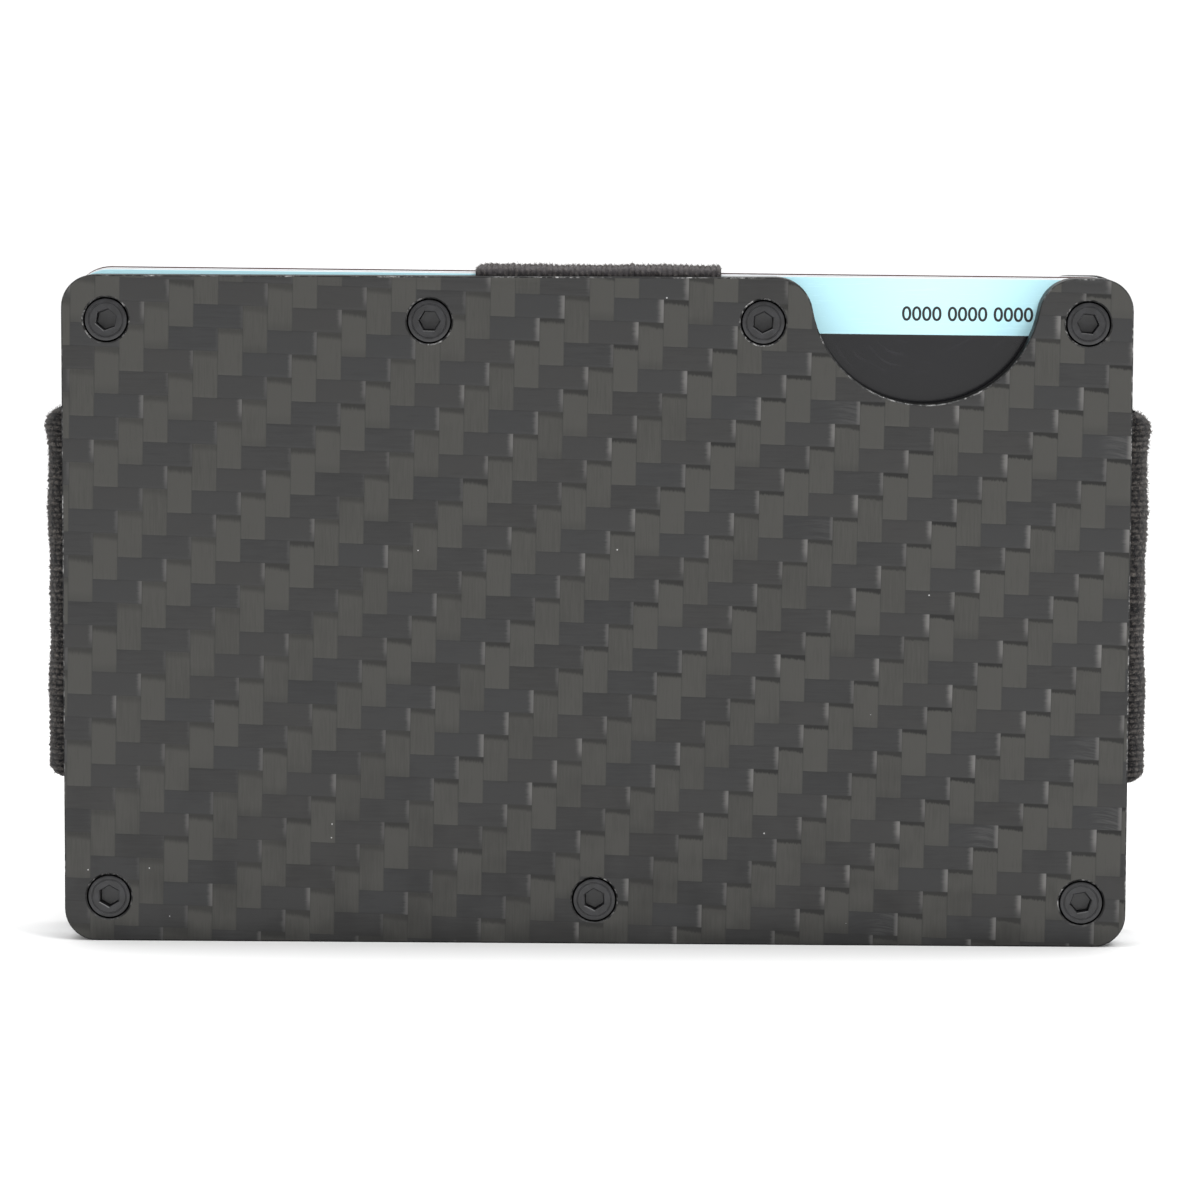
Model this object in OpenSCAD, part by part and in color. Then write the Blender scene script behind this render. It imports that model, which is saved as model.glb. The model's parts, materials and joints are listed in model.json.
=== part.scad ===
// Minimalist card wallet: two plate sandwiches held over a stack of cards by a wide elastic
// band and a narrower elastic strap, with a spring money clip on the back.
// X runs along the wallet, Y through it with the front face at -Y, and Z is up. The wallet
// stands on its open long edge, and the origin is under the middle of its bounding box.

/* [Cards] */
// Width of a card
card_w = 85.6; // [70:0.1:110]
// Height of a card
card_h = 53.98; // [45:0.01:70]
// Thickness of a card
card_t = 0.76; // [0.5:0.02:1.2]
// Radius of a card's corners
card_r = 3.18; // [2:0.01:5]
// Tilt of the cards in the wallet, in degrees
card_tilt = 0.4; // [0:0.05:0.5]

/* [Plates] */
// How much wider the plates are than a card
plate_over_w = 0.4; // [0.3:0.1:4]
// How much higher the plates are than a card
plate_over_h = 0.02; // [0:0.01:4]
// Radius of the plates' corners
corner_r = 2.6; // [1:0.1:6]
// Thickness of an outer plate
outer_t = 1.3; // [1:0.05:3]
// Thickness of an inner plate
inner_t = 1.7; // [1.4:0.05:4]

/* [Thumb notch] */
// Radius of the thumb notch
notch_r = 9.2; // [6:0.1:12]
// How far below the top edge the centre of the notch's arc lies
notch_drop = 0.95; // [0.5:0.05:1.5]
// Radius of the rounded shoulders beside the notch
shoulder_r = 3; // [2:0.1:3.6]
// Distance from the notch's arc to the axes of the screws beside it
notch_to_screw = 3.8; // [3:0.1:5]

/* [Elastic] */
// Height of the band's lower edge above the open edge
band_bottom_z = 13.2; // [8:0.1:20]
// Wall left between the thumb notch and the band's channel
notch_to_band = 0.4; // [0.2:0.1:4]
// Distance from the strap's edges to the axes of the screws beside it
strap_to_screw = 3.4; // [2.8:0.1:6]
// Thickness of the stretched elastic
elastic_t = 0.5; // [0.3:0.05:0.6]
// How far the band stands out past the plates' short sides
band_out = 1.7; // [1.2:0.1:3]
// Length over which the strap is sewn to the band
seam_len = 6; // [4:0.5:9]

/* [Screws] */
// Distance from the plates' edges to the screws' axes
screw_inset = 3.6; // [3:0.1:4.5]
// Diameter of a screw's flat head
head_d = 3.4; // [2.8:0.1:4]
// Diameter of a screw's shank
shank_d = 1.9; // [1.5:0.1:2.3]
// Width of a screw's hexagonal socket across its flats
socket_af = 1.5; // [0.9:0.1:1.6]
// Depth of a screw's socket
socket_deep = 0.6; // [0.4:0.1:0.8]

/* [Money clip] */
// Distance from the plates' left edge to the clip's foot
clip_inset = 6; // [4:0.5:12]
// Width of the clip's strip
clip_w = 16; // [10:1:24]
// Length of the clip, foot and blade
clip_len = 62; // [45:1:75]
// Length of the clip's foot
foot_len = 12; // [9:0.5:16]
// Thickness of the clip's steel
clip_t = 0.8; // [0.5:0.1:1.2]
// Height of the blade's high point over the back plate
clip_rise = 1.4; // [1:0.1:3]
// Height of the blade's flared tip over the back plate
clip_flare = 2.2; // [1.5:0.1:4]
// Diameter of a clip screw's head
clip_head_d = 3.6; // [3:0.1:4.4]
// Height of a clip screw's head
clip_head_h = 1; // [0.9:0.1:1.4]

/* [Hidden] */

// Clearances
plane_gap = 0.04;        // between flat faces of cards, plates and elastic
shank_gap = 0.05;        // around a screw's shank
seat_gap = 0.05;         // between a screw's cone and its countersink
channel_side_gap = 0.25; // beside the elastic in its channel
strap_gap = 0.03;        // between the strap and the highest card under it
insert_gap = 0.01;       // around a pressed-in insert
blade_gap = 0.1;         // between the clip's foot and the part of it that flexes
tip_gap = 0.15;          // under the clip's contact line
floor_gap = 0.01;        // under the lowest corner of a card
eps = 0.01;              // overshoot of every cut
past = 2;                // how far a cut runs beyond an outer face

// Plates
plate_w = card_w + plate_over_w;
plate_h = card_h + plate_over_h;

// Cards, counted from the front: how far each one rides up, and its colour
card_lifts = [0, 0.02, 0.05, 0.02, 0];
card_colours = ["PaleTurquoise", "WhiteSmoke", "DarkRed", "White", "MidnightBlue"];
card_count = len(card_lifts);
card_pitch = card_t + plane_gap;
card_mid_z = (card_w / 2 - card_r) * sin(card_tilt) + (card_h / 2 - card_r) * cos(card_tilt)
    + card_r + floor_gap;

// Layers through the wallet
side_t = outer_t + inner_t;
wallet_t = 2 * side_t + card_count * card_pitch + plane_gap;
depth = wallet_t + clip_flare + clip_t;
front_y = -depth / 2;
back_y = front_y + wallet_t;
mid_y = front_y + wallet_t / 2;

// Screws, countersunk into the outer plates
head_sunk = 0.08;
head_gap = 0.125;
mouth_chamfer = 0.125;
counterbore_d = head_d + 2 * head_gap;
mouth_d = counterbore_d + 2 * mouth_chamfer;
hole_d = shank_d + 2 * shank_gap;
cone_start = 0.4;
cone_end = cone_start + (counterbore_d - hole_d) / 2;
rim_end = cone_start + head_gap - seat_gap;
head_end = rim_end + (head_d - shank_d) / 2;
thread_floor = 0.3;
screw_tip_gap = 0.1;
screw_end = side_t - thread_floor - screw_tip_gap;
screw_edge_x = plate_w / 2 - screw_inset;
screw_mid_x = screw_edge_x - 2 * (notch_r + notch_to_screw);
screw_top_z = plate_h - screw_inset;
screw_places = [
    [-screw_edge_x, screw_top_z], [-screw_mid_x, screw_top_z],
    [screw_mid_x, screw_top_z], [screw_edge_x, screw_top_z],
    [-screw_edge_x, screw_inset], [0, screw_inset], [screw_edge_x, screw_inset]
];
socket_turns = [20, -2, 26, -6, 30, 33, 10];

// Thumb notch, midway between the two screws at the top right
notch_x = (screw_mid_x + screw_edge_x) / 2;
notch_bottom_z = plate_h - notch_drop - notch_r;
shoulder_drop = shoulder_r - notch_drop;
shoulder_reach = sqrt(pow(notch_r + shoulder_r, 2) - pow(shoulder_drop, 2));
tangent_share = notch_r / (notch_r + shoulder_r);

// Elastic band and strap, in a channel in the inner plate's face against the outer plate
band_top_z = notch_bottom_z - notch_to_band - channel_side_gap;
band_w = band_top_z - band_bottom_z;
strap_w = 2 * (screw_mid_x - strap_to_screw);
channel_t = elastic_t + 2 * plane_gap;
channel_w = band_w + 2 * channel_side_gap;
strap_channel_w = strap_w + 2 * channel_side_gap;
pocket_t = 2 * elastic_t + 3 * plane_gap;
strap_end_z = band_top_z - seam_len;
jog_rise = 2;
jog_start_z = band_top_z + channel_side_gap;
jog_end_z = jog_start_z + jog_rise;
pocket_end_z = jog_end_z + elastic_t + channel_side_gap;
run_y = outer_t + plane_gap;
sewn_y = run_y + elastic_t + plane_gap;

// Elastic bends, as halves of superellipses around the stack
bend_half = wallet_t / 2 - run_y;
band_power = 2.5;
strap_power = 6;
bend_steps = 24;
card_top_z = card_mid_z + card_h / 2 * cos(card_tilt) + strap_w / 2 * sin(card_tilt)
    + max(card_lifts);
strap_out = card_top_z - plate_h + strap_gap + elastic_t;

// Money clip, level with the middle of the plates
clip_x = clip_inset - plate_w / 2;
clip_z = plate_h / 2;
blade_x = clip_x + foot_len;
root_flat = 0.6;
crest_reach = 3;
flare_len = 8;
crest_x = blade_x + crest_reach;
clip_end_x = clip_x + clip_len;
touch_x = clip_end_x - flare_len;
tip_r = 5;
insert_wall = 0.75;
insert_short = 0.1;
insert_d = shank_d + 2 * insert_wall;
insert_t = outer_t - insert_short;
clip_head_chamfer = 0.5;
clip_socket_af = 1.3;
clip_socket_turn = 14;
clip_screw_share = 0.2;
clip_screw_x = clip_x + foot_len / 2;
clip_screw_z = clip_screw_share * clip_w;
clip_places = [[clip_screw_x, clip_z - clip_screw_z], [clip_screw_x, clip_z + clip_screw_z]];

$fn = 48;

// ---- Helpers ----

// Extrudes an outline drawn in X and Z from y = start towards +Y.
module slab(start, thick) {
    translate([0, start + thick, 0])
        rotate([90, 0, 0])
            linear_extrude(thick)
                children();
}

// A round bar along +Y from y = start, with a radius at each end.
module bar(start, thick, r1, r2) {
    translate([0, start, 0])
        rotate([-90, 0, 0])
            cylinder(h = thick, r1 = r1, r2 = r2);
}

// A hexagonal bar along +Y, turned anticlockwise as seen from the front.
module hex_bar(start, thick, flats, turn) {
    translate([0, start, 0])
        rotate([-90, -turn, 0])
            cylinder(h = thick, d = flats / cos(30), $fn = 6);
}

// Puts children at each [x, z] place.
module at_places(places) {
    for (place = places)
        translate([place[0], 0, place[1]])
            children();
}

// A side is drawn with its outer face at y = 0 and its inside towards +Y.
module as_front() {
    translate([0, front_y, 0])
        children();
}

module as_back() {
    translate([0, back_y, 0])
        mirror([0, 1, 0])
            children();
}

// A rectangle with round corners, centred on x = 0 and standing on z = 0.
module round_rect(wide, high, r) {
    translate([-wide / 2, r])
        square([wide, high - 2 * r]);
    translate([r - wide / 2, 0])
        square([wide - 2 * r, high]);
    for (x = [r - wide / 2, wide / 2 - r], z = [r, high - r])
        translate([x, z])
            circle(r);
}

// Half of a superellipse ring, open towards -X: how far it stands out, then its half width.
function half_loop(out, half, power) = [
    for (i = [0:bend_steps])
        let (a = -90 + 180 * i / bend_steps)
        [out * pow(max(cos(a), 0), 2 / power), half * sign(sin(a)) * pow(abs(sin(a)), 2 / power)]
];

function reversed(list) = [for (i = [len(list) - 1:-1:0]) list[i]];

module bend_ring(out, power) {
    outer = half_loop(out, bend_half, power);
    inner = half_loop(out - elastic_t, bend_half - elastic_t, power);
    polygon(concat(outer, reversed(inner)));
}

// ---- Plates ----

module notch_outline() {
    touch = [tangent_share * shoulder_reach, -notch_drop - tangent_share * shoulder_drop];
    translate([notch_x, plate_h]) {
        translate([0, -notch_drop])
            circle(notch_r, $fn = 96);
        difference() {
            polygon([
                [-shoulder_reach, past], [-shoulder_reach, -shoulder_r], [-touch[0], touch[1]],
                touch, [shoulder_reach, -shoulder_r], [shoulder_reach, past]
            ]);
            for (side = [-1, 1])
                translate([side * shoulder_reach, -shoulder_r])
                    circle(shoulder_r);
        }
    }
}

module plate_outline() {
    difference() {
        round_rect(plate_w, plate_h, corner_r);
        notch_outline();
    }
}

// The hole for one countersunk screw: chamfered mouth, counterbore, cone and clearance bore.
module screw_hole() {
    bar(-eps, mouth_chamfer + eps, mouth_d / 2 + eps, counterbore_d / 2);
    bar(0, cone_start, counterbore_d / 2, counterbore_d / 2);
    bar(cone_start, cone_end - cone_start, counterbore_d / 2, hole_d / 2);
    bar(0, outer_t + eps, hole_d / 2, hole_d / 2);
}

module outer_plate() {
    difference() {
        slab(0, outer_t)
            plate_outline();
        at_places(screw_places)
            screw_hole();
    }
}

// The inner plate carries the screws' threads and a T-shaped channel for the elastic.
module inner_plate() {
    difference() {
        slab(outer_t, inner_t)
            plate_outline();
        slab(outer_t - eps, channel_t + eps)
            translate([-plate_w / 2 - past, band_bottom_z - channel_side_gap])
                square([plate_w + 2 * past, channel_w]);
        slab(outer_t - eps, channel_t + eps)
            translate([-strap_channel_w / 2, strap_end_z])
                square([strap_channel_w, plate_h - strap_end_z + past]);
        slab(outer_t - eps, pocket_t + eps)
            translate([-strap_channel_w / 2, strap_end_z - channel_side_gap])
                square([strap_channel_w, pocket_end_z - strap_end_z + channel_side_gap]);
        at_places(screw_places) {
            screw_hole();
            bar(outer_t - eps, inner_t - thread_floor + eps, hole_d / 2, hole_d / 2);
        }
    }
}

module front_outer_plate() {
    color("DarkSlateGray")
        as_front()
            outer_plate();
}

module back_outer_plate() {
    color("DarkSlateGray")
        as_back()
            difference() {
                outer_plate();
                at_places(clip_places)
                    bar(-past, outer_t + 2 * past, insert_d / 2, insert_d / 2);
            }
}

module front_inner_plate() {
    color([0.06, 0.06, 0.06])
        as_front()
            inner_plate();
}

module back_inner_plate() {
    color([0.06, 0.06, 0.06])
        as_back()
            inner_plate();
}

// ---- Screws ----

module plate_screw(turn) {
    difference() {
        union() {
            bar(head_sunk, rim_end - head_sunk, head_d / 2, head_d / 2);
            bar(rim_end, head_end - rim_end, head_d / 2, shank_d / 2);
            bar(rim_end, screw_end - rim_end, shank_d / 2, shank_d / 2);
        }
        hex_bar(head_sunk - eps, socket_deep + eps, socket_af, turn);
    }
}

module plate_screws() {
    for (i = [0:len(screw_places) - 1])
        translate([screw_places[i][0], 0, screw_places[i][1]])
            plate_screw(socket_turns[i]);
}

module front_screws() {
    color([0.16, 0.16, 0.17])
        as_front()
            plate_screws();
}

module back_screws() {
    color([0.16, 0.16, 0.17])
        as_back()
            plate_screws();
}

// ---- Elastic ----

// The band's stretch inside one side, from one short side to the other.
module band_run() {
    slab(run_y, elastic_t)
        translate([-plate_w / 2, band_bottom_z])
            square([plate_w, band_w]);
}

// The strap's stretch inside one side. Its end is sewn onto the band's inner face, and it
// jogs outwards above the band to lie against the outer plate.
module strap_run() {
    translate([-strap_w / 2, 0, 0])
        rotate([90, 0, 90])
            linear_extrude(strap_w)
                polygon([
                    [run_y, plate_h], [run_y, jog_end_z], [sewn_y, jog_start_z],
                    [sewn_y, strap_end_z], [sewn_y + elastic_t, strap_end_z],
                    [sewn_y + elastic_t, jog_start_z + elastic_t],
                    [run_y + elastic_t, jog_end_z + elastic_t], [run_y + elastic_t, plate_h]
                ]);
}

module band_front_run() {
    color([0.2, 0.19, 0.18])
        as_front()
            band_run();
}

module band_back_run() {
    color([0.2, 0.19, 0.18])
        as_back()
            band_run();
}

module strap_front_run() {
    color([0.24, 0.23, 0.22])
        as_front()
            strap_run();
}

module strap_back_run() {
    color([0.24, 0.23, 0.22])
        as_back()
            strap_run();
}

module band_right_bend() {
    color([0.2, 0.19, 0.18])
        translate([plate_w / 2, mid_y, band_bottom_z])
            linear_extrude(band_w)
                bend_ring(band_out, band_power);
}

module band_left_bend() {
    color([0.2, 0.19, 0.18])
        translate([-plate_w / 2, mid_y, band_bottom_z])
            linear_extrude(band_w)
                rotate(180)
                    bend_ring(band_out, band_power);
}

module strap_top_bend() {
    color([0.24, 0.23, 0.22])
        translate([-strap_w / 2, mid_y, plate_h])
            rotate([90, 0, 90])
                linear_extrude(strap_w)
                    rotate(90)
                        bend_ring(strap_out, strap_power);
}

// ---- Money clip ----

// The strip's side profile, drawn in X and Y with the back plate's face at y = 0.
module clip_profile(path) {
    raised = [for (p = path) [p[0], p[1] + clip_t]];
    polygon(concat(path, reversed(raised)));
}

module clip_foot() {
    color([0.13, 0.13, 0.14])
        difference() {
            translate([0, back_y, clip_z - clip_w / 2])
                linear_extrude(clip_w)
                    clip_profile([[clip_x, 0], [blade_x, 0]]);
            translate([0, back_y, 0])
                at_places(clip_places)
                    bar(-past, 2 * past + clip_t, hole_d / 2, hole_d / 2);
        }
}

module clip_blade() {
    root_x = blade_x + blade_gap;
    color([0.13, 0.13, 0.14])
        intersection() {
            translate([0, back_y, clip_z - clip_w / 2])
                linear_extrude(clip_w)
                    clip_profile([
                        [root_x, 0], [root_x + root_flat, 0], [crest_x, clip_rise],
                        [touch_x, tip_gap], [clip_end_x, clip_flare]
                    ]);
            slab(back_y - past, clip_flare + clip_t + 2 * past)
                union() {
                    translate([root_x - past, clip_z - clip_w / 2])
                        square([clip_end_x - tip_r - root_x + past, clip_w]);
                    translate([clip_end_x - 2 * tip_r, clip_z - clip_w / 2 + tip_r])
                        square([2 * tip_r, clip_w - 2 * tip_r]);
                    for (side = [-1, 1])
                        translate([clip_end_x - tip_r, clip_z + side * (clip_w / 2 - tip_r)])
                            circle(tip_r);
                }
        }
}

// Button-head screws through the foot into threaded inserts in the back outer plate.
module clip_screws() {
    color([0.16, 0.16, 0.17])
        translate([0, back_y, 0])
            at_places(clip_places)
                difference() {
                    union() {
                        bar(clip_t + plane_gap, clip_head_h / 2, clip_head_d / 2, clip_head_d / 2);
                        bar(clip_t + plane_gap + clip_head_h / 2, clip_head_h / 2,
                            clip_head_d / 2, clip_head_d / 2 - clip_head_chamfer);
                        bar(-insert_t, insert_t + clip_t + plane_gap + eps, shank_d / 2, shank_d / 2);
                    }
                    hex_bar(clip_t + clip_head_h - socket_deep, 2 * socket_deep, clip_socket_af,
                        clip_socket_turn);
                }
}

module clip_inserts() {
    color("DarkKhaki")
        translate([0, back_y, 0])
            at_places(clip_places)
                difference() {
                    bar(-outer_t, insert_t, insert_d / 2 - insert_gap, insert_d / 2 - insert_gap);
                    bar(-outer_t - past, outer_t + 2 * past, hole_d / 2, hole_d / 2);
                }
}

// ---- Cards ----

// Card number i, counted from the front.
module card(i) {
    color(card_colours[i])
        translate([0, front_y + side_t + plane_gap + i * card_pitch, card_mid_z + card_lifts[i]])
            rotate([0, card_tilt, 0])
                slab(0, card_t)
                    translate([0, -card_h / 2])
                        round_rect(card_w, card_h, card_r);
}

front_outer_plate();
front_inner_plate();
front_screws();
band_front_run();
strap_front_run();
back_outer_plate();
back_inner_plate();
back_screws();
band_back_run();
strap_back_run();
band_left_bend();
band_right_bend();
strap_top_bend();
clip_foot();
clip_blade();
clip_screws();
clip_inserts();
card(0);  // card_1
card(1);  // card_2
card(2);  // card_3
card(3);  // card_4
card(4);  // card_5
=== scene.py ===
"""A minimalist card wallet: twill carbon plates, black inner plates, elastic, cards and a money clip."""

import contextlib
import json
import math

import bmesh
import bpy
import numpy as np
from mathutils import Euler, Matrix, Vector

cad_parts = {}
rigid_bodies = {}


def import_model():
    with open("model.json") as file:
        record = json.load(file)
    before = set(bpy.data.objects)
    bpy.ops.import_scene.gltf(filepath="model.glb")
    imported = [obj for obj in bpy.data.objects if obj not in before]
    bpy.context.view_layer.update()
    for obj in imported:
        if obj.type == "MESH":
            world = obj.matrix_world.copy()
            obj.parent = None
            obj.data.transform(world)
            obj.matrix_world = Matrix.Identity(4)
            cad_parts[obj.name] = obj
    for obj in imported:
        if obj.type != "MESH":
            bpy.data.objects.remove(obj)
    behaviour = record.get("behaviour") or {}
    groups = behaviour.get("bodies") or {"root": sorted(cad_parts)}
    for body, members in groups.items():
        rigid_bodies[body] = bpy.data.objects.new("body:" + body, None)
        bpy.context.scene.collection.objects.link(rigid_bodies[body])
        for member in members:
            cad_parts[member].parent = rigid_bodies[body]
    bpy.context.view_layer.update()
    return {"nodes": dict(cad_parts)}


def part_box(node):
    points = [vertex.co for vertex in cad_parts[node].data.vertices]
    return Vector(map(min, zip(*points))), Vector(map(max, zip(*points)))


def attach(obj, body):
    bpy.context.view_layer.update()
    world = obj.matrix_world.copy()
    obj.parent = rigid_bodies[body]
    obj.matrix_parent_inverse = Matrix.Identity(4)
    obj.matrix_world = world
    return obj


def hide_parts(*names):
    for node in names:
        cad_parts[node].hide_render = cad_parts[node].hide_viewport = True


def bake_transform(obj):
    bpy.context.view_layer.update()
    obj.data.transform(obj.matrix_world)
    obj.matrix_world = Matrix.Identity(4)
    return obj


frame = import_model()

MM = 0.001

# ---- Places, all read from the frame ----

PLATE_LOW, PLATE_HIGH = (Vector(corner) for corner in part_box("front_outer_plate"))
BACK_LOW, BACK_HIGH = (Vector(corner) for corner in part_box("back_outer_plate"))
FRONT_Y = PLATE_LOW.y
BACK_Y = BACK_HIGH.y
MID_Y = (FRONT_Y + BACK_Y) / 2
HALF_W = PLATE_HIGH.x
PLATE_H = PLATE_HIGH.z
MID_Z = PLATE_H / 2

# ---- The twill ----

TOW_X = 1.986 * MM          # pitch of the upright tows
TOW_Z = 1.878 * MM          # pitch of the lying tows
LEAN_X = -0.0137            # how far the upright tows lean
LEAN_Z = 0.0369             # how far the lying tows fall towards the right
START_X = 0.73 * MM         # where the first upright tow's edge lies
START_Z = 1.70 * MM         # where the first lying tow's edge lies
FLOAT_CELLS = 2             # a tow floats over two cells and dives under two
REPEAT_CELLS = 4
FAR_DIVE = 0.22             # share of a cell in which a tow's far end dives
NEAR_DIVE = 0.10            # share of a cell in which its near end rises
END_DIVE = 0.036 * MM       # depth of a tow's end where it dives
SIDE_DIP = 0.014 * MM       # depth of the groove between two tows
LACQUER_OVER = 0.004 * MM   # the highest tow lies this far under the plate's own face
LIP = 0.11 * MM             # chamfer round a carbon plate's face

UP_TONE = 0.055             # how light the upright tows are; painted lighter than the lying tows, as painted reflection
LIE_TONE = 0.033            # how light the lying tows are; painted darker than the upright tows, as painted reflection
GLINT_TONE = 0.16           # how light the end of a lying tow is

WELD = 0.0005 * MM          # points closer than this are one point

rng = np.random.default_rng(11)


# ---- Mesh helpers ----

def new_object(name, mesh):
    obj = bpy.data.objects.new(name, mesh)
    bpy.context.scene.collection.objects.link(obj)
    return obj


def mesh_object(name, points, faces):
    mesh = bpy.data.meshes.new(name)
    mesh.from_pydata([tuple(p) for p in points], [], faces)
    mesh.update()
    return new_object(name, mesh)


@contextlib.contextmanager
def editing(mesh, into=None):
    """Opens a mesh for editing and writes the result back, or into another mesh."""
    bm = bmesh.new()
    bm.from_mesh(mesh)
    yield bm
    bm.to_mesh(into or mesh)
    bm.free()


def recalculate(mesh):
    """Turns every face of a closed mesh outwards."""
    with editing(mesh) as bm:
        bmesh.ops.recalc_face_normals(bm, faces=bm.faces)


def smooth(mesh, angle):
    """Smooth shading, with edges sharper than the angle left crisp."""
    mesh.shade_smooth()
    mesh.set_sharp_from_angle(angle=math.radians(angle))


def apply_modifiers(obj):
    """Bakes the object's modifiers into a plain mesh and removes them."""
    graph = bpy.context.evaluated_depsgraph_get()
    baked = bpy.data.meshes.new_from_object(obj.evaluated_get(graph), depsgraph=graph)
    obj.modifiers.clear()
    obj.data = baked
    return obj


def paint(obj, *materials):
    obj.data.materials.clear()
    for material in materials:
        obj.data.materials.append(material)


def welded_copy(node, name):
    """A copy of a CAD node's mesh, with its loose triangles joined and its flat faces made whole."""
    mesh = bpy.data.meshes.new(name)
    flat = math.radians(0.5)
    with editing(frame["nodes"][node].data, mesh) as bm:
        bmesh.ops.remove_doubles(bm, verts=bm.verts, dist=WELD)
        bmesh.ops.dissolve_limit(
            bm, angle_limit=flat, verts=bm.verts, edges=bm.edges, use_dissolve_boundaries=False)
    return new_object(name, mesh)


def bevel_sharp(obj, width, segments, angle=40):
    """Rounds the sharp edges of a piece."""
    modifier = obj.modifiers.new("rounding", "BEVEL")
    modifier.width = width
    modifier.segments = segments
    modifier.limit_method = "ANGLE"
    modifier.angle_limit = math.radians(angle)
    modifier.use_clamp_overlap = True
    return apply_modifiers(obj)


def solid_boxes(node):
    """The lowest and highest corner of each separate solid in a CAD node, left to right, then up."""
    bm = bmesh.new()
    bm.from_mesh(frame["nodes"][node].data)
    bmesh.ops.remove_doubles(bm, verts=bm.verts, dist=WELD)
    unseen = set(bm.verts)
    found = []
    while unseen:
        stack, island = [unseen.pop()], []
        while stack:
            vertex = stack.pop()
            island.append(vertex.co.copy())
            for edge in vertex.link_edges:
                other = edge.other_vert(vertex)
                if other in unseen:
                    unseen.discard(other)
                    stack.append(other)
        coordinates = np.array(island)
        found.append((Vector(coordinates.min(0)), Vector(coordinates.max(0))))
    bm.free()
    return sorted(found, key=lambda box: (-round(box[0].z / MM), box[0].x))


# ---- Node helpers ----

def add_node(tree, kind, inputs=None, **settings):
    """Makes a node. Each input is fed by another node's output or a constant."""
    made = tree.nodes.new(kind)
    for key, setting in settings.items():
        setattr(made, key, setting)
    for socket, source in (inputs or {}).items():
        source = getattr(source, "socket", source)
        if isinstance(source, bpy.types.NodeSocket):
            tree.links.new(source, made.inputs[socket])
        else:
            made.inputs[socket].default_value = source
    return made


class Scatter:
    """A Geometry Nodes tree with named inputs, which sets copies of a shape and gives them a finish."""

    def __init__(self, name, **kinds):
        self.tree = bpy.data.node_groups.new(name, "GeometryNodeTree")
        new_socket = self.tree.interface.new_socket
        kinds = {"Base": "Geometry", **kinds, "Finish": "Material"}
        self.ids = {
            label: new_socket(label, in_out="INPUT", socket_type="NodeSocket" + kind).identifier
            for label, kind in kinds.items()
        }
        new_socket("Copies", in_out="OUTPUT", socket_type="NodeSocketGeometry")
        self.entry = self.make("NodeGroupInput")

    def make(self, kind, inputs=None, **settings):
        return add_node(self.tree, kind, inputs, **settings).outputs

    def plant(self, **inputs):
        """Sets a copy on every point, makes the copies real and gives them the finish."""
        copies = self.make("GeometryNodeInstanceOnPoints", inputs)
        real = self.make("GeometryNodeRealizeInstances", {0: copies[0]})
        coat = self.make("GeometryNodeSetMaterial", {"Geometry": real[0], "Material": self.entry["Finish"]})
        self.make("NodeGroupOutput", {0: coat[0]})

    def grow(self, obj, **values):
        """Runs the tree on an object and leaves a plain mesh."""
        modifier = obj.modifiers.new(self.tree.name, "NODES")
        modifier.node_group = self.tree
        for label, value in values.items():
            modifier[self.ids[label]] = value
        return apply_modifiers(obj)


def arithmetic(operation, swapped=False):
    """A method of Value that adds a math node."""
    def method(value, other=0.0):
        return value.shader.math(operation, *((other, value) if swapped else (value, other)))
    return method


class Value:
    """What a material works out at every point. Arithmetic on it adds math nodes."""

    __add__ = arithmetic("ADD")
    __sub__ = arithmetic("SUBTRACT")
    __rsub__ = arithmetic("SUBTRACT", swapped=True)
    __mul__ = arithmetic("MULTIPLY")
    __truediv__ = arithmetic("DIVIDE")
    __abs__ = arithmetic("ABSOLUTE")

    def __init__(self, shader, socket):
        self.shader = shader
        self.socket = socket

    def output(self, name):
        """Another output of the same node."""
        return Value(self.shader, self.socket.node.outputs[name])


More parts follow.
